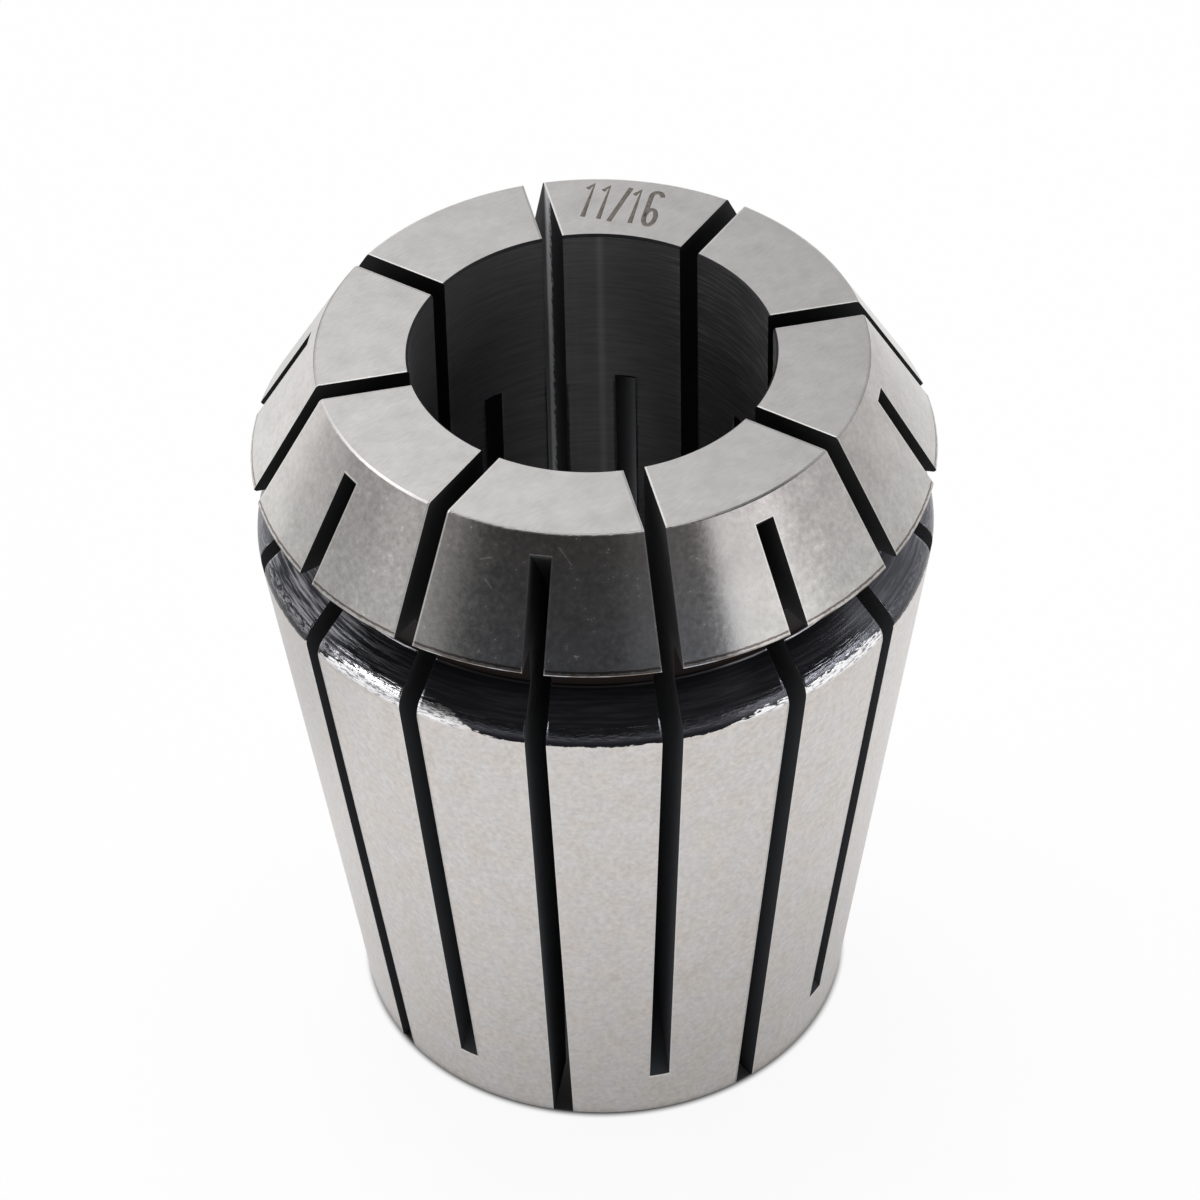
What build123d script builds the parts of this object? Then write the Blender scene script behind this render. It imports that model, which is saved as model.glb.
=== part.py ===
from build123d import *
import os
from math import radians, sqrt, tan

# One-piece spring collet for a tool chuck, millimetres and degrees.
# The axis is Z. The rear face, which goes into the chuck first, lies on Z = 0, and the front face,
# where the tool enters, is at the top.

# Body
overall_length = 40.0
major_diameter = 33.0           # both cones reach this diameter at the groove
tool_diameter = 11 / 16 * 25.4  # the clamping bore, for an 11/16 inch shank

# The long taper that seats in the chuck, and the short one that the clamping nut presses on
rear_half_angle = 8.0
front_half_angle = 30.0
front_cone_height = 5.75

# Extraction groove: a flat front wall, a round floor and a 45 degree shoulder
groove_width = 4.0              # along the axis, at the major diameter
groove_floor_diameter = 29.2
shoulder_half_angle = 45.0

# Edge breaks
rim_land = 0.15                 # cylindrical land at the major diameter, under the front cone
rim_chamfer = 0.1               # land to groove wall
groove_root_radius = 0.4        # both corners of the groove floor
shoulder_radius = 1.2           # shoulder to long taper
front_edge_chamfer = 0.08       # front face to front cone
bore_mouth_chamfer = 0.1
rear_edge_chamfer = 0.15

# Slots, sawn radially by a disc that feeds along the axis from one end
slots_each_end = 8
slot_width = 1.0
saw_diameter = 63.0
saw_depth_radius = 6.0          # where the disc's edge runs, measured from the axis, inside the bore
front_slot_end = 3.0            # above the rear face, where the slot runs out on the long taper
rear_slot_end = 1.0             # below the front face, where the slot runs out on the front cone
saw_overrun = 1.0               # how far the stroke starts beyond the end face

# Derived sizes
major_radius = major_diameter / 2
bore_radius = tool_diameter / 2
floor_radius = groove_floor_diameter / 2
rim_height = overall_length - front_cone_height - rim_land
shoulder_height = rim_height - groove_width
floor_low = shoulder_height + (major_radius - floor_radius) / tan(radians(shoulder_half_angle))
front_face_radius = major_radius - front_cone_height * tan(radians(front_half_angle))
rear_face_radius = major_radius - shoulder_height * tan(radians(rear_half_angle))
saw_radius = saw_diameter / 2
saw_axis_radius = saw_depth_radius + saw_radius


def taper_radius(height):
    """Radius of the long taper at a height above the rear face."""
    return rear_face_radius + height * tan(radians(rear_half_angle))


def front_cone_radius(height):
    """Radius of the front cone at a height above the rear face."""
    return front_face_radius + (overall_length - height) * tan(radians(front_half_angle))


def round_corner(face, corner, radius):
    """Rounds one corner of the half section."""
    nearest = face.vertices().sort_by_distance(corner)[0]
    return fillet(nearest, radius)


def break_corner(face, corner, length):
    """Chamfers one corner of the half section."""
    nearest = face.vertices().sort_by_distance(corner)[0]
    return chamfer(nearest, length)


def half_section():
    """The turned profile, in the XZ plane, before the slots are sawn."""
    bore_rear = (bore_radius, 0, 0)
    bore_front = (bore_radius, 0, overall_length)
    front_edge = (front_face_radius, 0, overall_length)
    land_top = (major_radius, 0, rim_height + rim_land)
    rim = (major_radius, 0, rim_height)
    root_front = (floor_radius, 0, rim_height)
    root_rear = (floor_radius, 0, floor_low)
    shoulder = (major_radius, 0, shoulder_height)
    rear_edge = (rear_face_radius, 0, 0)
    cones = (front_edge, land_top, rim)
    groove = (root_front, root_rear, shoulder)
    outline = Polyline(bore_rear, bore_front, *cones, *groove, rear_edge, close=True)
    section = make_face(outline)
    section = break_corner(section, rim, rim_chamfer)
    section = round_corner(section, root_front, groove_root_radius)
    section = round_corner(section, root_rear, groove_root_radius)
    section = round_corner(section, shoulder, shoulder_radius)
    section = break_corner(section, front_edge, front_edge_chamfer)
    section = break_corner(section, bore_front, bore_mouth_chamfer)
    section = break_corner(section, bore_rear, bore_mouth_chamfer)
    return break_corner(section, rear_edge, rear_edge_chamfer)


def saw_cut(end_radius, end_height, direction):
    """One slot at azimuth 0: the disc where its feed stops, and its path back out of the end face.

    The disc's edge passes through the point (end_radius, end_height). Its curve makes the slot
    longer at the outside than at the bore. direction is +1 for a slot open at the front face
    and -1 for one open at the rear face.
    """
    reach = sqrt(saw_radius**2 - (saw_axis_radius - end_radius) ** 2)
    axis_height = end_height + direction * reach
    mouth = overall_length + saw_overrun if direction > 0 else -saw_overrun
    stroke = abs(mouth - axis_height)
    disc = Pos(saw_axis_radius, axis_height) * Circle(saw_radius)
    path = Pos(saw_axis_radius, (axis_height + mouth) / 2) * Rectangle(saw_diameter, stroke)
    return extrude(Plane.XZ * (disc + path), slot_width / 2, both=True)


def collet():
    """The turned blank with both sets of slots, the rear set half a pitch on from the front set."""
    blank = revolve(half_section(), Axis.Z)
    front_end = (taper_radius(front_slot_end), front_slot_end)
    rear_end_height = overall_length - rear_slot_end
    rear_end = (front_cone_radius(rear_end_height), rear_end_height)
    front_cut = saw_cut(*front_end, 1)
    rear_cut = saw_cut(*rear_end, -1)
    pitch = 360 / slots_each_end
    cuts = [Rot(Z=number * pitch) * front_cut for number in range(slots_each_end)]
    cuts += [Rot(Z=(number + 0.5) * pitch) * rear_cut for number in range(slots_each_end)]
    return blank - cuts


os.makedirs("parts", exist_ok=True)
body = collet()
body.label = "collet"
export_step(body, "parts/collet.step")
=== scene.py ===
from math import atan2, cos, pi, radians, sin

import bpy
from mathutils import Matrix, Vector


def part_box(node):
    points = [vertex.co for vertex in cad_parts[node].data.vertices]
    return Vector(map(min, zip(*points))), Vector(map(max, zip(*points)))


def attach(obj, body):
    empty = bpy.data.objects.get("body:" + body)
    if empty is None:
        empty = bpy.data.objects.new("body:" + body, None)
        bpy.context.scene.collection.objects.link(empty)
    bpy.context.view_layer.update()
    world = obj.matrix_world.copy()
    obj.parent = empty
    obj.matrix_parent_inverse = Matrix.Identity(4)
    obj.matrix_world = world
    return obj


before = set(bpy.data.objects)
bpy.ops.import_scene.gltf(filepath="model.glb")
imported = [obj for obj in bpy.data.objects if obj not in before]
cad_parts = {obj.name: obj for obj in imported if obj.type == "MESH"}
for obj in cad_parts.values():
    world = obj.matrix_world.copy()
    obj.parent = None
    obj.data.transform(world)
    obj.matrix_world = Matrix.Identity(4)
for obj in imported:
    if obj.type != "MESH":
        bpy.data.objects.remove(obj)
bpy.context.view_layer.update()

# Lengths are in metres, or in mm where a comment says so. "Aside" is an azimuth in degrees, to the camera's
# right. A range says where a soft step starts and ends, and then its values there if they aren't 0 and 1.
MM = 0.001

# Camera: where it stands around the collet, and how it is framed
CAMERA_AZIMUTH = -101.9
CAMERA_ELEVATION = 42.28
CAMERA_ROLL = -1.21
CAMERA_DISTANCE = 273.3 * MM
CAMERA_TARGET_HEIGHT = 23.99 * MM
CAMERA_TARGET_SIDEWAYS = 0.13 * MM
CAMERA_LENS_MM = 166.3
SENSOR_MM = 36.0
CLIP_START = 0.01

# Where one surface of the collet ends and the next begins, in mm, a little clear of each edge
BORE_RADIUS = 8.84
BORE_MOUTH_HEIGHT = 39.88
FRONT_FACE_HEIGHT = 39.96
LAND_TOP = 34.27
LAND_BOTTOM = 34.14
GROOVE_BOTTOM = 31.95
CORNER_TOP = 30.52
RINGS_START = 29.6

# The saw cuts, in mm: those open at the front and those open at the rear, and the edge beside each, with
# wear and a painted glint
SLOT_PITCH = radians(45.0)
SLOT_HALF_WIDTH = 0.505
SAW_RADIUS = 31.53
SAW_AXIS_RADIUS = 37.5
FRONT_SAW_HEIGHT = 22.46
REAR_SAW_HEIGHT = 18.30
EDGE_WIDTH = 0.1

# Sides of the collet: aside, and a range of the cosine of the angle from there. The last two values of
# WORN_HIGHLIGHT_LEFT_HEIGHT are heights in mm
# The middle of the view, where the cone carries a painted reflection
CONE_REFLECTED_MIDDLE = (0, 0.88, 0.97)
# The next four set where the shoulder's corner is bare from wear and carries a painted highlight
NOT_THE_MIDDLE = (0, 0.88, 0.96, 1.0, 0.0)
WORN_HIGHLIGHT_REACH = (0, 0.50, 0.60)
WORN_HIGHLIGHT_LEFT_SIDE = (-30, 0.2, 0.8)
WORN_HIGHLIGHT_LEFT_HEIGHT = (-30, 0.91, 0.985, 0.15, 0.8)
# The side where the shoulder's film shows lighter streaks, a painted sheen
STREAKED_SHEEN_SIDE = (-58, 0.9, 0.97)
# The side where the bore's brushed arcs carry a painted sheen
BRUSHED_SHEEN_SIDE = (118, 0.7, 0.95)

# The marks of making: how close together they lie on each surface, per mm, and how strongly they show
GRAIN_FINENESS = 3.4
STROKES_ALONG = (1.6, 0.9, 0.0)
STROKES_ACROSS = (-4.4, 7.8, 0.0)
RING_FINENESS = 0.4
CORNER_RING_FINENESS = 2.2
RING_FINENESS_IN_HEIGHT = 10.0
CLOUD_FINENESS = 0.7
GRAIN_CONTRAST = 0.6
FACE_CONTRAST = 0.26
CLOUD_CONTRAST = 0.34

# How deep the marks are, and how far the slots' edges turn over, in mm. Ranges are heights
TAPER_DEPTH = 0.02
SHOULDER_DEPTH = 0.004
STREAKED_DEPTH = 0.007
CORNER_DEPTH = 0.0025
TAPER_DEPTH_RANGE = (30.62, 30.92)
EDGE_DEPTH_RANGE = (30.52, 31.02, -0.04, -0.006)

# Mottled colours: the colour at the start and at the end of a range of the noise, as a screen shows them
TAPER_COLOURS = ((211, 205, 200), (203, 200, 199), (0.35, 0.65))
# The corner's bare steel, made bright enough to stand as a painted highlight
BURNISHED_HIGHLIGHT_COLOURS = ((140, 139, 143), (250, 249, 251), (0.36, 0.52))
FILM_COLOURS = ((96, 97, 103), (130, 130, 138), (0.4, 0.7))
# The film's lighter streaks on one side are a painted sheen
STREAKED_SHEEN_FILM_COLOURS = ((60, 61, 66), (165, 165, 169), (0.42, 0.62))
BORE_COLOURS = ((158, 157, 159), (180, 179, 182), (0.3, 0.7))
MARK_COLOURS = ((92, 87, 82), (118, 112, 106), (0.3, 0.7))

# Plain colours, as a screen shows them
CONE_SIDE_COLOUR = (190, 188, 185)
# The cone's middle of the view, tinted as a painted reflection
CONE_MIDDLE_REFLECTION_COLOUR = (185, 186, 192)
CONE_TOP_COLOUR = (181, 177, 175)
# Painted shade for a thin line above the rim
RIM_SHADE_LINE_COLOUR = (120, 112, 108)
STAIN_COLOUR = (140, 128, 120)
FACE_COLOUR = (199, 197, 196)
# Slot edges: bare from wear, and lighter still as a painted glint
EDGE_WEAR_AND_GLINT_COLOUR = (235, 233, 230)
# Painted shade on the top of the shoulder's film, under the cone
FILM_TOP_SHADE_COLOUR = (40, 40, 44)
FILM_CORNER_COLOUR = (26, 26, 30)
# A painted highlight on the shoulder's top edge
SHOULDER_HIGHLIGHT_COLOUR = (150, 150, 154)
GROOVE_COLOUR = (24, 20, 19)
# Painted reflections in the bore, as light streaks
BORE_REFLECTION_COLOUR = (235, 230, 227)
# Brushed arcs in the bore, lighter as a painted sheen
BORE_ARC_SHEEN_COLOUR = (222, 218, 217)
BORE_MOUTH_COLOUR = (60, 60, 62)
# Painted shade deep in the cuts, near the bore
CUT_INNER_SHADE_COLOUR = (46, 46, 48)
CUT_OUTER_COLOUR = (110, 112, 116)
CUT_FRONT_COLOUR = (90, 90, 92)
# A painted reflection on one cut wall, as a light line
WALL_REFLECTION_COLOUR = (240, 240, 242)

# Roughness of each surface. Ranges are of the noise
TAPER_ROUGHNESS = 0.30
CONE_ROUGHNESS = (0.2, 0.8, 0.13, 0.2)
SPECK_ROUGHNESS = 0.4
FACE_ROUGHNESS = 0.26
CORNER_ROUGHNESS = 0.14
BORE_ROUGHNESS = 0.45
CUT_ROUGHNESS = 0.95
MARK_ROUGHNESS = (0.2, 0.8, 0.4, 0.6)
FLOOR_ROUGHNESS = 0.95

# Small marks on the cone: a painted shade line above the rim, stains on the land, slot edges light from wear
# and a painted glint, and dull specks.
# Lengths are in mm, and the other ranges are of the noise
RIM_LINE_HEIGHT = 34.33
RIM_LINE_WAVE = 0.12
RIM_LINE_HALF_WIDTH = 0.05
STAIN_RANGE = (0.6, 0.4)
EDGE_GLINT_STRENGTH = 0.4
SPECK_RANGE = (0.64, 0.74)
SPECK_CLOUD_RANGE = (0.5, 0.6)
DULL_CORNER_TOP = 34.47

# Scratches on the cone: aside, height in mm, lean in degrees and length in mm
SCRATCHES = ((-5.9, 39.1, -48.0, 1.0), (-21.0, 38.6, 18.0, 0.7), (-20.0, 37.6, -40.0, 0.5))
SCRATCH_HALF_WIDTH = 0.035
SCRATCH_STRENGTH = 0.45

# The film on the shoulder and its corner. It starts higher on the sides of the view, where the corner is
# bare from wear and painted bright as a highlight. Lengths are in mm, and FILM_RAGGED_RANGE is of the noise
CORNER_RANGE = (29.7, 29.9)
FILM_START = 29.62
FILM_RAGGED_RANGE = (0.3, 0.7)
FILM_RAGGEDNESS = 0.12
WORN_HIGHLIGHT_RAGGEDNESS = 0.3
WORN_HIGHLIGHT_HEIGHT = 0.5
FILM_CORNER_RANGE = (29.8, 30.52)
# Where the film darkens towards its top, as painted shade
FILM_TOP_SHADE_RANGE = (31.0, 31.95, 0.0, 0.8)
# A painted highlight along the shoulder's top edge
SHOULDER_HIGHLIGHT_HEIGHT = 31.92
SHOULDER_HIGHLIGHT_HALF_WIDTH = 0.05
SHOULDER_HIGHLIGHT_STRENGTH = 0.3

# The bore: painted reflections as streaks along it, by azimuth and half width in degrees and strength, and
# arcs brushed near its mouth, lighter as a painted sheen, over a range of heights in mm and a range of the
# noise
BORE_REFLECTION_STREAKS = ((83.0, 1.4, 0.04), (75.0, 2.0, 0.4))
BORE_ARC_HEIGHTS = (27.0, 37.0)
BORE_ARC_RANGE = (0.45, 0.7)

# Where the cuts' walls change colour, darker near the bore as painted shade, and a painted reflection as a
# light line on one of them, in mm and radians
CUT_SHADE_RADII = (9.0, 14.0)
CUT_HEIGHTS = (26.0, 33.0)
# The light line on one cut wall is a painted reflection
WALL_REFLECTION_AZIMUTH = radians(90.0)
WALL_REFLECTION_REACH = radians(5.0)
WALL_REFLECTION_HEIGHTS = (13.0, 17.0)
WALL_REFLECTION_WAVE = 2.0
WALL_REFLECTION_INNER_RANGE = (12.5, 13.0)
WALL_REFLECTION_OUTER_RANGE = (12.5, 13.2, 1.0, 0.0)

# The floor, with its half size in metres
FLOOR_HALF_SIZE = 3.0
FLOOR_COLOUR = (0.9, 0.9, 0.9, 1)
SHADOW_COLOUR = (0.1, 0.1, 0.1, 1)

# How white the floor is. Distances are in mm from the collet's axis, or to one side of it
SHADOW_RANGE = (12.1, 12.6)
CAMERA_WHITE_SHARE = 0.93
STEEL_WHITE_SHARE = (14.0, 36.0, 0.45, 0.85)
LEFT_ASIDE = -130
LEFT_NEAR_WHITE = (18.0, 30.0, 1.0, 0.78)
LEFT_FAR_WHITE = (40.0, 120.0, 1.0, 1.69)
FAR_RANGE = (200.0, 420.0)
FAR_WHITE = 0.83

# What polished steel sees of the room, later patches over earlier ones: aside, elevation, the inner and the
# outer radius of a soft edge in degrees, and brightness
ROOM_BRIGHTNESS = 0.68
ROOM_PATCHES = (
    (0, 58, 50, 55.5, 0.15),
    (-20, 50, 36, 54, 0.06),
    (80, 41, 16, 23, 0.05),
    (-74, 41, 17, 24, 0.05),
    (26, 17, 4, 20, 0.16),
    (156, 38, 15, 25, 0.3),
    (-140, 50, 18, 35, 1.35),
    (-108, 48, 9, 15, 2.2),
    (-100, 2, 14, 30, 0.58),
    (-108, 22, 8, 16, 0.7),
    (110, 18, 8, 20, 0.5),
    (84, 5, 10, 24, 0.85),
    (56, 11, 10, 18.5, 1.25),
)

# Soft boxes: aside, elevation, distance, width and height in metres, and brightness
SOFT_BOXES = {
    "left_box": (-76, 22, 0.6, 0.26, 0.06, 5.0),
    "right_box": (76, 22, 0.6, 0.26, 0.06, 5.0),
    "top_box": (180, 78, 0.8, 0.5, 0.5, 4.5),
}

# The size mark: strokes of one width on the back of the front face, in mm and degrees
MARK_AZIMUTH = 67.5
MARK_TILT = -3.5
MARK_RADIUS = 11.16
MARK_SIDEWAYS = -0.55
MARK_HALF_HEIGHT = 1.3
MARK_PITCH = 0.785
MARK_STROKE = 0.24
MARK_RELIEF = 0.012
MARK_ROUND_STEPS = 3
MARK_FINENESS = 6.0
FLAG_WIDTH = 0.26
FLAG_DROP = 0.42
SLASH_HALF_WIDTH = 0.25
SLASH_OVERSHOOT = 0.08
SIX_SHIFT = 0.07
SIX_HALF_WIDTH = 0.27
SIX_HOOK_HEIGHT = 0.32
SIX_BOWL_SHARE = 0.95
SIX_HOOK_STEPS = 12
SIX_BOWL_STEPS = 24


def linear(colour):
    """A colour given as a screen shows it, from 0 to 255, in the renderer's own terms."""
    values = []
    for channel in colour:
        share = channel / 255
        values.append(share / 12.92 if share <= 0.04045 else ((share + 0.055) / 1.055) ** 2.4)
    return (*values, 1.0)


def direction(aside, elevation):
    """A unit vector, with its azimuth in degrees to the camera's right and its elevation in degrees."""
    turn = radians(CAMERA_AZIMUTH + aside)
    rise = radians(elevation)
    return Vector((cos(rise) * cos(turn), cos(rise) * sin(turn), sin(rise)))


class Graph:
    """Short names for the nodes of one material or world."""

    def __init__(self, tree):
        self.tree = tree

    def node(self, kind, **settings):
        made = self.tree.nodes.new("ShaderNode" + kind)
        for name, value in settings.items():
            setattr(made, name, value)
        return made

    def feed(self, socket, value):
        """Gives a socket a number, a vector, a colour or another node's output."""
        if isinstance(value, bpy.types.NodeSocket):
            self.tree.links.new(value, socket)
        else:
            socket.default_value = value

    def math(self, operation, *values):
        made = self.node("Math", operation=operation)
        for socket, value in zip(made.inputs, values):
            self.feed(socket, value)
        return made.outputs[0]

    def add(self, first, *others):
        for other in others:
            first = self.math("ADD", first, other)
        return first

    def minus(self, first, second):
        return self.math("SUBTRACT", first, second)

    def times(self, first, *others):
        for other in others:
            first = self.math("MULTIPLY", first, other)
        return first

    def larger(self, first, *others):
        """The largest of the values."""
        for other in others:
            first = self.math("MAXIMUM", first, other)
        return first

    def size(self, value):
        """The value without its sign."""
        return self.math("ABSOLUTE", value)

    def above(self, value, limit):
        """1 where value is above limit, or else 0."""
        return self.math("GREATER_THAN", value, limit)

    def below(self, value, limit):
        """1 where value is below limit, or else 0."""
        return self.math("LESS_THAN", value, limit)

    def near(self, value, middle, reach):
        """1 where value is within reach of middle, or else 0."""
        return self.math("COMPARE", value, middle, reach)

    def length(self, across, along):
        """The length of a flat vector."""
        return self.math("SQRT", self.add(self.times(across, across), self.times(along, along)))

    def scaled(self, vector, factor):
        made = self.node("VectorMath", operation="MULTIPLY")
        self.feed(made.inputs[0], vector)
        self.feed(made.inputs[1], (factor, factor, factor))
        return made.outputs[0]

    def dot(self, vector, other):
        made = self.node("VectorMath", operation="DOT_PRODUCT")
        self.feed(made.inputs[0], vector)
        self.feed(made.inputs[1], other)
        return made.outputs["Value"]

    def parts(self, vector):
        made = self.node("SeparateXYZ")
        self.feed(made.inputs[0], vector)
        return made.outputs[0], made.outputs[1], made.outputs[2]

    def vector(self, x, y, z):
        made = self.node("CombineXYZ")
        for socket, value in zip(made.inputs, (x, y, z)):
            self.feed(socket, value)
        return made.outputs[0]

    def ramp(self, value, low, high, at_low=0.0, at_high=1.0):
        """A smooth step from at_low to at_high as value goes from low to high."""
        made = self.node("MapRange", interpolation_type="SMOOTHSTEP", clamp=True)
        for socket, number in zip(made.inputs, (value, low, high, at_low, at_high)):
            self.feed(socket, number)
        return made.outputs[0]

    def mix(self, share, first, second):
        """A number between first and second."""
        made = self.node("Mix", data_type="FLOAT", clamp_factor=True)
        self.feed(made.inputs[0], share)
        self.feed(made.inputs[2], first)
        self.feed(made.inputs[3], second)
        return made.outputs[0]

    def blend(self, share, first, second, how="MIX"):
        """A colour between first and second."""
        made = self.node("Mix", data_type="RGBA", blend_type=how, clamp_factor=True)
        self.feed(made.inputs[0], share)
        self.feed(made.inputs[6], first)
        self.feed(made.inputs[7], second)
        return made.outputs[2]

    def paint(self, share, under, colour):
        """The colour, given as a screen shows it, laid over what is under it."""
        return self.blend(share, under, linear(colour))

    def mottle(self, noise, colours):
        first, second, reach = colours
        return self.blend(self.ramp(noise, *reach), linear(first), linear(second))

    def noise(self, vector, scale, detail, roughness):
        made = self.node("TexNoise")
        self.feed(made.inputs["Vector"], vector)
        self.feed(made.inputs["Scale"], scale)
        self.feed(made.inputs["Detail"], detail)
        self.feed(made.inputs["Roughness"], roughness)
        return made.outputs[0]

    def millimetres(self):
        """A point's place on its object, in mm."""
        return self.scaled(self.node("TexCoord").outputs["Object"], 1 / MM)

    def bump(self, height, unit):
        """A normal tilted by relief of that height, given in units of this many metres."""
        made = self.node("Bump")
        self.feed(made.inputs["Strength"], 1.0)
        self.feed(made.inputs["Distance"], unit)
        self.feed(made.inputs["Height"], height)
        return made.outputs[0]


def new_material(name):
    material = bpy.data.materials.new(name)
    material.use_nodes = True
    return material, Graph(material.node_tree), material.node_tree.nodes["Principled BSDF"]


def make_camera():
    """The camera on a sphere around a point near the middle of the collet's axis."""
    turn = Matrix.Rotation(radians(CAMERA_AZIMUTH + 90), 4, "Z")
    tilt = Matrix.Rotation(radians(90 - CAMERA_ELEVATION), 4, "X")
    roll = Matrix.Rotation(radians(CAMERA_ROLL), 4, "Z")
    target = turn @ Vector((CAMERA_TARGET_SIDEWAYS, 0, CAMERA_TARGET_HEIGHT))
    back = turn @ tilt @ Vector((0, 0, CAMERA_DISTANCE))
    data = bpy.data.cameras.new("camera")
    data.lens = CAMERA_LENS_MM
    data.sensor_width = SENSOR_MM
    data.clip_start = CLIP_START
    camera = bpy.data.objects.new("camera", data)
    camera.matrix_world = Matrix.Translation(target + back) @ turn @ tilt @ roll
    bpy.context.scene.collection.objects.link(camera)
    bpy.context.scene.camera = camera


def floor_white():
    """White but for the collet's shadow. The camera and polished steel see it brighter than other rays."""
    material, graph, shader = new_material("floor_white")
    x, y, _ = graph.parts(graph.millimetres())
    away = graph.length(x, y)
    lit = graph.ramp(away, *SHADOW_RANGE)
    graph.feed(shader.inputs["Base Color"], graph.blend(lit, SHADOW_COLOUR, FLOOR_COLOUR))
    shader.inputs["Roughness"].default_value = FLOOR_ROUGHNESS
    path = graph.node("LightPath")
    camera = path.outputs["Is Camera Ray"]
    reflected = graph.larger(path.outputs["Is Glossy Ray"], path.outputs["Is Transmission Ray"])
    share = graph.times(reflected, graph.ramp(away, *STEEL_WHITE_SHARE))
    share = graph.add(share, graph.times(camera, CAMERA_WHITE_SHARE))
    left = graph.dot(graph.vector(x, y, 0.0), direction(LEFT_ASIDE, 0))
    strength = graph.times(graph.ramp(left, *LEFT_NEAR_WHITE), graph.ramp(left, *LEFT_FAR_WHITE))
    strength = graph.mix(graph.ramp(away, *FAR_RANGE), strength, FAR_WHITE)
    white = graph.node("Emission")
    graph.feed(white.inputs["Strength"], graph.mix(camera, strength, 1.0))
    mixed = graph.node("MixShader")
    graph.feed(mixed.inputs[0], graph.times(share, lit))
    graph.feed(mixed.inputs[1], shader.outputs[0])
    graph.feed(mixed.inputs[2], white.outputs[0])
    graph.feed(material.node_tree.nodes["Material Output"].inputs[0], mixed.outputs[0])
    return material


def make_floor():
    half = FLOOR_HALF_SIZE
    mesh = bpy.data.meshes.new("floor")
    corners = [(-half, -half, 0), (half, -half, 0), (half, half, 0), (-half, half, 0)]
    mesh.from_pydata(corners, [], [(0, 1, 2, 3)])
    mesh.materials.append(floor_white())
    floor = bpy.data.objects.new("floor", mesh)
    bpy.context.scene.collection.objects.link(floor)


def make_world():
    """A pale studio, dark above and behind the camera, so that polished steel has something to show."""
    world = bpy.data.worlds.new("studio")
    bpy.context.scene.world = world
    world.use_nodes = True
    graph = Graph(world.node_tree)
    ray = graph.node("TexCoord").outputs["Generated"]
    level = ROOM_BRIGHTNESS
    for aside, elevation, inner, outer, brightness in ROOM_PATCHES:
        nearness = graph.dot(ray, direction(aside, elevation))
        patch = graph.ramp(nearness, cos(radians(outer)), cos(radians(inner)))
        level = graph.mix(patch, level, brightness)
    background = world.node_tree.nodes["Background"]
    background.inputs["Color"].default_value = (1, 1, 1, 1)
    graph.feed(background.inputs["Strength"], level)


def soft_box(name, aside, elevation, distance, width, height, brightness):
    """A flat lamp that faces the collet and looks as bright as a surface of that strength."""
    data = bpy.data.lights.new(name, "AREA")
    data.shape = "RECTANGLE"
    data.size = width
    data.size_y = height
    data.energy = brightness * pi * width * height
    light = bpy.data.objects.new(name, data)
    place = direction(aside, elevation) * distance
    light.location = place
    light.rotation_euler = (-place).to_track_quat("-Z", "Y").to_euler()
    bpy.context.scene.collection.objects.link(light)


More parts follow.
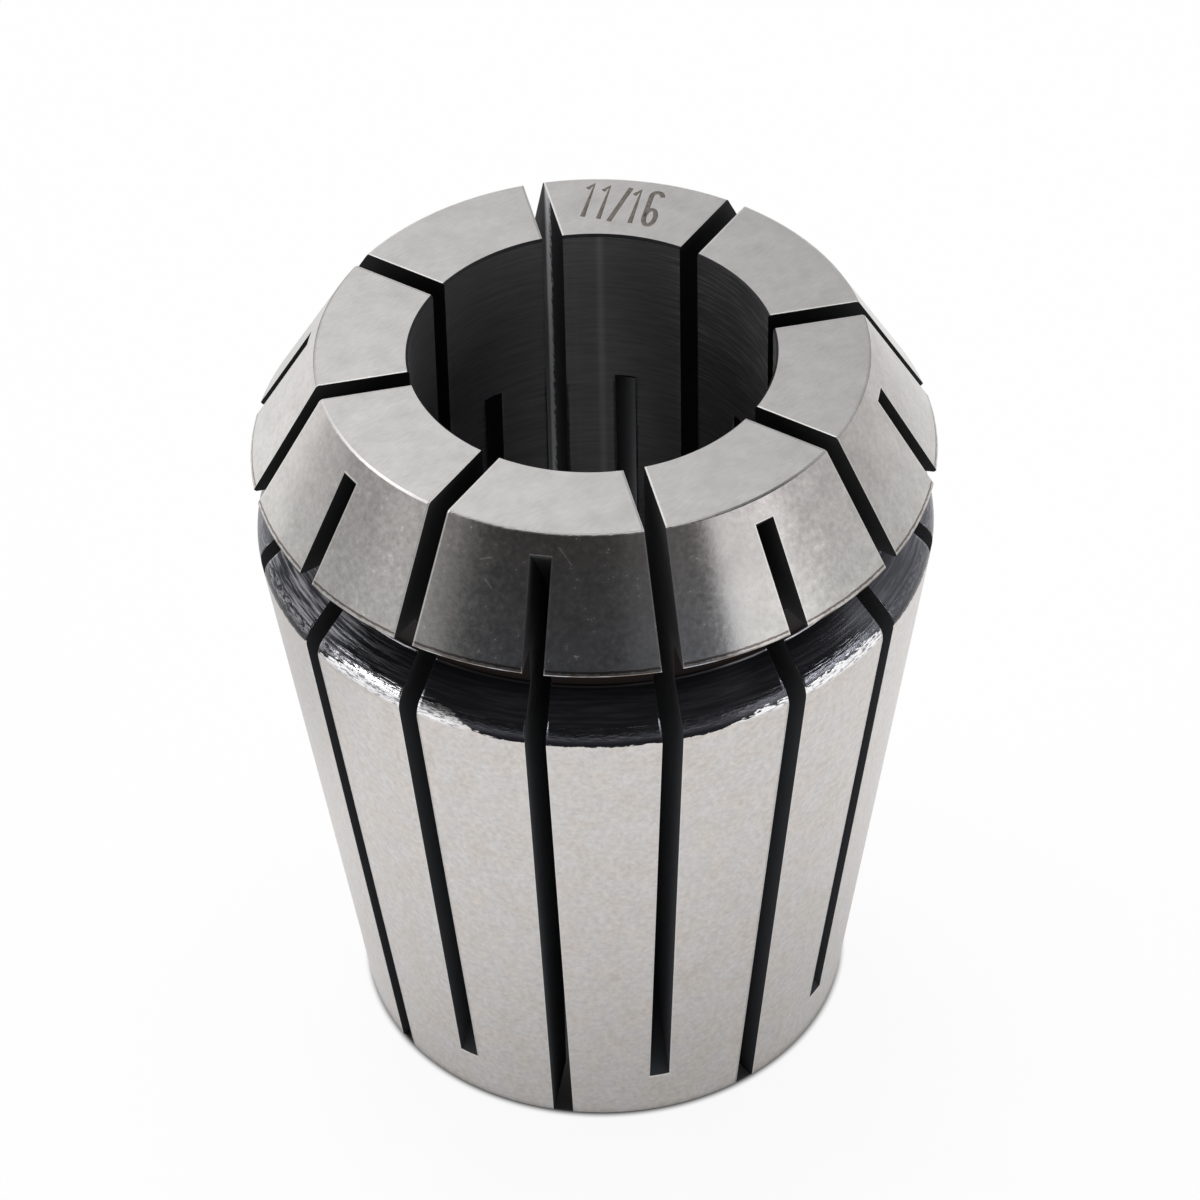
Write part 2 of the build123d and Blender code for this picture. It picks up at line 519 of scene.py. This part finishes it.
class Surface:
    """Where a point lies on the collet, in mm, and masks that are 1 on one kind of surface, 0 elsewhere."""

    def __init__(self, graph):
        self.graph = graph
        self.place = graph.millimetres()
        self.x, self.y, self.z = graph.parts(self.place)
        self.radius = graph.length(self.x, self.y)
        self.azimuth = graph.math("ARCTAN2", self.y, self.x)
        across = graph.math("DIVIDE", self.x, self.radius)
        along = graph.math("DIVIDE", self.y, self.radius)
        self.outward = graph.vector(across, along, 0.0)

        front_cut, front_edge = self.slots(0.0, FRONT_SAW_HEIGHT, "MINIMUM")
        rear_cut, rear_edge = self.slots(0.5, REAR_SAW_HEIGHT, "MAXIMUM")
        self.cut = graph.larger(front_cut, rear_cut)
        self.edge = graph.larger(front_edge, rear_edge)
        self.bore = graph.below(self.radius, BORE_RADIUS)
        self.face = graph.above(self.z, FRONT_FACE_HEIGHT)
        self.cone = graph.above(self.z, LAND_BOTTOM)
        self.rear = graph.minus(1.0, self.cone)
        self.groove = graph.times(graph.above(self.z, GROOVE_BOTTOM), self.rear)
        self.turned = graph.times(graph.above(self.z, RINGS_START), self.rear)
        self.corner = graph.times(graph.ramp(self.z, *CORNER_RANGE), self.rear)
        self.streaked_sheen_side = self.side(*STREAKED_SHEEN_SIDE)

        self.marks = graph.noise(self.run(), 1.0, detail=3.0, roughness=0.65)
        self.cloud = graph.noise(self.place, CLOUD_FINENESS, detail=2.0, roughness=0.5)
        # Wear on the shoulder's corner with a painted highlight, on the sides of the view between its middle
        # and the back
        self.worn_highlight = graph.times(self.side(*NOT_THE_MIDDLE), self.side(*WORN_HIGHLIGHT_REACH))
        self.film = self.shoulder_film()

    def side(self, aside, low, high, at_low=0.0, at_high=1.0):
        """A smooth step towards one side of the collet."""
        nearness = self.graph.dot(self.outward, direction(aside, 0))
        return self.graph.ramp(nearness, low, high, at_low, at_high)

    def slots(self, shift, saw_height, limit):
        """1 on the walls and run-outs of one set of saw cuts, and a soft 1 on and close beside them.

        The set is turned by shift pitches. Beyond saw_height the cut is straight, and limit says which way.
        """
        graph = self.graph
        turns = graph.add(graph.times(self.azimuth, 1 / SLOT_PITCH), shift)
        angle = graph.times(graph.minus(turns, graph.math("ROUND", turns)), SLOT_PITCH)
        across = graph.size(graph.times(self.radius, graph.math("SINE", angle)))
        out = graph.minus(graph.times(self.radius, graph.math("COSINE", angle)), SAW_AXIS_RADIUS)
        up = graph.math(limit, graph.minus(self.z, saw_height), 0.0)
        reach = graph.length(out, up)
        inside = graph.times(graph.below(across, SLOT_HALF_WIDTH), graph.below(reach, SAW_RADIUS))
        beside = graph.ramp(across, SLOT_HALF_WIDTH, SLOT_HALF_WIDTH + EDGE_WIDTH, 1.0, 0.0)
        beyond = graph.ramp(reach, SAW_RADIUS, SAW_RADIUS + EDGE_WIDTH, 1.0, 0.0)
        return inside, graph.times(beside, beyond)

    def run(self):
        """How the marks lie: grain on the ground cones, straight strokes on the face, rings where turned."""
        graph = self.graph
        grain = graph.scaled(self.place, GRAIN_FINENESS)
        along = graph.dot(self.place, STROKES_ALONG)
        across = graph.dot(self.place, STROKES_ACROSS)
        strokes = graph.vector(along, across, self.z)
        lowest = graph.times(graph.below(self.z, CORNER_TOP), graph.minus(1.0, self.bore))
        fineness = graph.mix(lowest, RING_FINENESS, CORNER_RING_FINENESS)
        height = graph.times(self.z, RING_FINENESS_IN_HEIGHT)
        rings = graph.vector(graph.times(self.x, fineness), graph.times(self.y, fineness), height)
        run = graph.blend(self.face, grain, strokes)
        return graph.blend(graph.larger(self.bore, self.turned), run, rings)

    def shoulder_film(self):
        """The dark film on the groove's shoulder. It starts higher up where the corner is bare from wear and
        painted bright.
        """
        graph = self.graph
        worn_highlight_height = graph.mix(self.side(*WORN_HIGHLIGHT_LEFT_SIDE), WORN_HIGHLIGHT_HEIGHT, self.side(*WORN_HIGHLIGHT_LEFT_HEIGHT))
        raggedness = graph.mix(self.worn_highlight, FILM_RAGGEDNESS, WORN_HIGHLIGHT_RAGGEDNESS)
        ragged = graph.times(graph.ramp(self.marks, *FILM_RAGGED_RANGE), raggedness)
        start = graph.add(FILM_START, graph.times(self.worn_highlight, worn_highlight_height), ragged)
        return graph.times(graph.above(self.z, start), self.rear)

    def scratches(self):
        """Short straight lines on the cone."""
        graph = self.graph
        found = 0.0
        for aside, height, lean, length in SCRATCHES:
            middle = direction(aside, 0)
            turn = graph.minus(self.azimuth, atan2(middle.y, middle.x))
            across = graph.times(turn, self.radius)
            up = graph.minus(self.z, height)
            run = cos(radians(lean))
            rise = sin(radians(lean))
            on_line = graph.add(graph.times(across, run), graph.times(up, rise))
            off_line = graph.minus(graph.times(up, run), graph.times(across, rise))
            line = graph.near(off_line, 0.0, SCRATCH_HALF_WIDTH)
            found = graph.add(found, graph.times(line, graph.near(on_line, 0.0, length / 2)))
        return graph.times(found, SCRATCH_STRENGTH)


def cone_colour(graph, at):
    """The front cone, with a painted shade line above its rim and stains on the narrow land below it."""
    # Cooler in the middle of the view: a painted reflection on the cone
    colour = graph.blend(at.side(*CONE_REFLECTED_MIDDLE), linear(CONE_SIDE_COLOUR), linear(CONE_MIDDLE_REFLECTION_COLOUR))
    colour = graph.paint(graph.ramp(at.z, LAND_TOP, FRONT_FACE_HEIGHT), colour, CONE_TOP_COLOUR)
    # A painted shade line above the rim
    line_height = graph.add(RIM_LINE_HEIGHT, graph.times(at.marks, RIM_LINE_WAVE))
    colour = graph.paint(graph.near(at.z, line_height, RIM_LINE_HALF_WIDTH), colour, RIM_SHADE_LINE_COLOUR)
    stained = graph.times(graph.below(at.z, LAND_TOP), graph.ramp(at.cloud, *STAIN_RANGE))
    return graph.paint(stained, colour, STAIN_COLOUR)


def ground_colour(graph, at):
    """The long taper, the front cone and the front face, with light lines along the slots from wear and
    painted glints.
    """
    colour = graph.mottle(at.cloud, TAPER_COLOURS)
    colour = graph.blend(at.cone, colour, cone_colour(graph, at))
    colour = graph.paint(at.face, colour, FACE_COLOUR)
    contrast = graph.mix(at.face, GRAIN_CONTRAST, FACE_CONTRAST)
    grain = graph.times(graph.minus(at.marks, 0.5), contrast)
    cloud = graph.times(graph.minus(at.cloud, 0.5), CLOUD_CONTRAST)
    shade = graph.add(grain, cloud, 1.0)
    colour = graph.blend(1.0, colour, graph.vector(shade, shade, shade), "MULTIPLY")
    # Light slot edges: partly wear, partly a painted glint
    return graph.paint(graph.times(at.edge, EDGE_GLINT_STRENGTH), colour, EDGE_WEAR_AND_GLINT_COLOUR)


def shoulder_colour(graph, at, colour):
    """The groove and its turned shoulder, under a dark film that is darkest on the corner, with painted
    light and shade.
    """
    # The corner's wear, painted bright as a highlight on the sides of the view
    burnished_highlight = graph.mottle(at.marks, BURNISHED_HIGHLIGHT_COLOURS)
    colour = graph.blend(graph.times(at.corner, at.worn_highlight), colour, burnished_highlight)
    film = graph.mottle(at.marks, FILM_COLOURS)
    # Lighter streaks on one side of the film: a painted sheen
    film = graph.blend(at.streaked_sheen_side, film, graph.mottle(at.marks, STREAKED_SHEEN_FILM_COLOURS))
    # The film darker towards its top: painted shade under the cone
    film = graph.paint(graph.ramp(at.z, *FILM_TOP_SHADE_RANGE), film, FILM_TOP_SHADE_COLOUR)
    film = graph.blend(graph.ramp(at.z, *FILM_CORNER_RANGE), linear(FILM_CORNER_COLOUR), film)
    # A painted highlight along the shoulder's top edge
    top_edge_highlight = graph.near(at.z, SHOULDER_HIGHLIGHT_HEIGHT, SHOULDER_HIGHLIGHT_HALF_WIDTH)
    film = graph.paint(graph.times(top_edge_highlight, SHOULDER_HIGHLIGHT_STRENGTH), film, SHOULDER_HIGHLIGHT_COLOUR)
    colour = graph.blend(at.film, colour, film)
    return graph.paint(at.groove, colour, GROOVE_COLOUR)


def bore_colour(graph, at):
    """The oily bore, with painted reflections as streaks along it, and brushed arcs painted as sheen on one
    side of its mouth.
    """
    colour = graph.mottle(at.marks, BORE_COLOURS)
    for azimuth, half_width, strength in BORE_REFLECTION_STREAKS:
        # Each streak is a painted reflection
        off_line = graph.size(graph.minus(at.azimuth, radians(azimuth)))
        streak = graph.ramp(off_line, 0.0, radians(half_width), strength, 0.0)
        colour = graph.paint(streak, colour, BORE_REFLECTION_COLOUR)
    # Brushed arcs, lighter on one side as a painted sheen
    arcs = graph.times(at.side(*BRUSHED_SHEEN_SIDE), graph.ramp(at.z, *BORE_ARC_HEIGHTS))
    arcs = graph.times(arcs, graph.ramp(at.marks, *BORE_ARC_RANGE))
    colour = graph.paint(arcs, colour, BORE_ARC_SHEEN_COLOUR)
    return graph.paint(graph.above(at.z, BORE_MOUTH_HEIGHT), colour, BORE_MOUTH_COLOUR)


def cut_colour(graph, at):
    """The sawn walls, dark with oil, painted shade near the bore, and a painted reflection as a light line
    through it.
    """
    outer = graph.blend(graph.ramp(at.z, *CUT_HEIGHTS), linear(CUT_OUTER_COLOUR), linear(CUT_FRONT_COLOUR))
    # Darker towards the bore: painted shade deep in the cuts
    colour = graph.blend(graph.ramp(at.radius, *CUT_SHADE_RADII), linear(CUT_INNER_SHADE_COLOUR), outer)
    # A light line on one wall, seen through the bore: a painted reflection
    wall = graph.near(at.azimuth, WALL_REFLECTION_AZIMUTH, WALL_REFLECTION_REACH)
    ragged_radius = graph.add(at.radius, graph.times(at.marks, WALL_REFLECTION_WAVE))
    inner = graph.ramp(ragged_radius, *WALL_REFLECTION_INNER_RANGE)
    outer = graph.ramp(at.radius, *WALL_REFLECTION_OUTER_RANGE)
    wall_reflection = graph.times(wall, graph.ramp(at.z, *WALL_REFLECTION_HEIGHTS), inner, outer)
    return graph.paint(wall_reflection, colour, WALL_REFLECTION_COLOUR)


def steel_roughness(graph, at):
    """Polished cone with dull specks and scratches, a duller taper, and rough cuts."""
    rough = graph.mix(at.cone, TAPER_ROUGHNESS, graph.ramp(at.marks, *CONE_ROUGHNESS))
    specks = graph.times(graph.ramp(at.marks, *SPECK_RANGE), graph.ramp(at.cloud, *SPECK_CLOUD_RANGE))
    corners = graph.times(at.edge, graph.below(at.z, DULL_CORNER_TOP))
    dull = graph.times(at.cone, graph.larger(specks, corners, at.scratches()))
    rough = graph.mix(dull, rough, SPECK_ROUGHNESS)
    rough = graph.mix(at.face, rough, FACE_ROUGHNESS)
    rough = graph.mix(graph.times(at.corner, graph.larger(at.worn_highlight, at.film)), rough, CORNER_ROUGHNESS)
    rough = graph.mix(at.bore, rough, BORE_ROUGHNESS)
    return graph.mix(at.cut, rough, CUT_ROUGHNESS)


def steel_relief(graph, at):
    """Relief in mm: fine grain, deepest on the taper, and slot edges that turn over."""
    shoulder = graph.mix(at.streaked_sheen_side, SHOULDER_DEPTH, STREAKED_DEPTH)
    depth = graph.mix(graph.ramp(at.z, *TAPER_DEPTH_RANGE), TAPER_DEPTH, shoulder)
    depth = graph.mix(at.corner, CORNER_DEPTH, depth)
    edge_depth = graph.ramp(at.z, *EDGE_DEPTH_RANGE)
    return graph.add(graph.times(at.marks, depth), graph.times(at.edge, edge_depth))


def collet_steel():
    """Hardened steel: ground cones and front face, turned shoulder, and black oily cuts and bore."""
    material, graph, shader = new_material("collet_steel")
    at = Surface(graph)
    colour = ground_colour(graph, at)
    colour = shoulder_colour(graph, at, colour)
    colour = graph.blend(at.bore, colour, bore_colour(graph, at))
    colour = graph.blend(at.cut, colour, cut_colour(graph, at))
    graph.feed(shader.inputs["Base Color"], colour)
    graph.feed(shader.inputs["Roughness"], steel_roughness(graph, at))
    graph.feed(shader.inputs["Normal"], graph.bump(steel_relief(graph, at), MM))
    shader.inputs["Metallic"].default_value = 1.0
    return material


def etched_mark():
    """Steel that the marking has left dark and dull."""
    material, graph, shader = new_material("etched_mark")
    spots = graph.noise(graph.millimetres(), MARK_FINENESS, detail=3.0, roughness=0.6)
    graph.feed(shader.inputs["Base Color"], graph.mottle(spots, MARK_COLOURS))
    graph.feed(shader.inputs["Roughness"], graph.ramp(spots, *MARK_ROUGHNESS))
    shader.inputs["Metallic"].default_value = 1.0
    return material


def one(middle):
    """The stroke of a 1 around middle: a stem and a short flag."""
    top = MARK_HALF_HEIGHT
    return [(middle, -top), (middle, top), (middle - FLAG_WIDTH, top - FLAG_DROP)]


def slash(middle):
    """The stroke of a slash around middle, a little taller than the numbers."""
    top = MARK_HALF_HEIGHT + SLASH_OVERSHOOT
    return [(middle - SLASH_HALF_WIDTH, -top), (middle + SLASH_HALF_WIDTH, top)]


def arc(centre, half_height, start, turn, steps):
    """Points along part of an ellipse as wide as a 6, anticlockwise from start."""
    points = []
    for step in range(steps + 1):
        angle = start + turn * step / steps
        points.append((centre[0] + SIX_HALF_WIDTH * cos(angle), centre[1] + half_height * sin(angle)))
    return points


def six(middle):
    """The stroke of a narrow 6: a hook over the left side that runs on into a closed bowl."""
    bowl_half_height = SIX_BOWL_SHARE * MARK_HALF_HEIGHT / 2
    hook_centre = (middle, MARK_HALF_HEIGHT - SIX_HOOK_HEIGHT)
    bowl_centre = (middle, bowl_half_height - MARK_HALF_HEIGHT)
    hook = arc(hook_centre, SIX_HOOK_HEIGHT, 0, pi, SIX_HOOK_STEPS)
    return hook + arc(bowl_centre, bowl_half_height, pi, 2 * pi, SIX_BOWL_STEPS)


def make_mark():
    """The bore's size in plain numbers, as a thin dark line on the front face."""
    curve = bpy.data.curves.new("size_mark", "CURVE")
    curve.dimensions = "3D"
    curve.bevel_depth = MARK_STROKE / 2 * MM
    curve.bevel_resolution = MARK_ROUND_STEPS
    curve.use_fill_caps = True
    first, second, third, fourth, fifth = [place * MARK_PITCH for place in (-2, -1, 0, 1, 2)]
    for stroke in (one(first), one(second), slash(third), one(fourth), six(fifth + SIX_SHIFT)):
        spline = curve.splines.new("POLY")
        spline.points.add(len(stroke) - 1)
        for point, (across, up) in zip(spline.points, stroke):
            point.co = (across * MM, up * MM, 0, 1)
    mark = bpy.data.objects.new("size_mark", curve)
    bpy.context.scene.collection.objects.link(mark)
    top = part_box("collet")[1].z
    spin = Matrix.Rotation(radians(MARK_AZIMUTH - 90), 4, "Z")
    shift = Matrix.Translation((MARK_SIDEWAYS * MM, MARK_RADIUS * MM, top))
    tilt = Matrix.Rotation(radians(MARK_TILT), 4, "Z")
    flat = Matrix.Diagonal((1, 1, 2 * MARK_RELIEF / MARK_STROKE, 1))
    mark.matrix_world = spin @ shift @ tilt @ flat
    curve.materials.append(etched_mark())
    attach(mark, "root")


make_camera()
make_floor()
make_world()
for name, settings in SOFT_BOXES.items():
    soft_box(name, *settings)
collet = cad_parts["collet"]
collet.data.materials.clear()
collet.data.materials.append(collet_steel())
make_mark()
bpy.context.scene.view_settings.view_transform = "Standard"
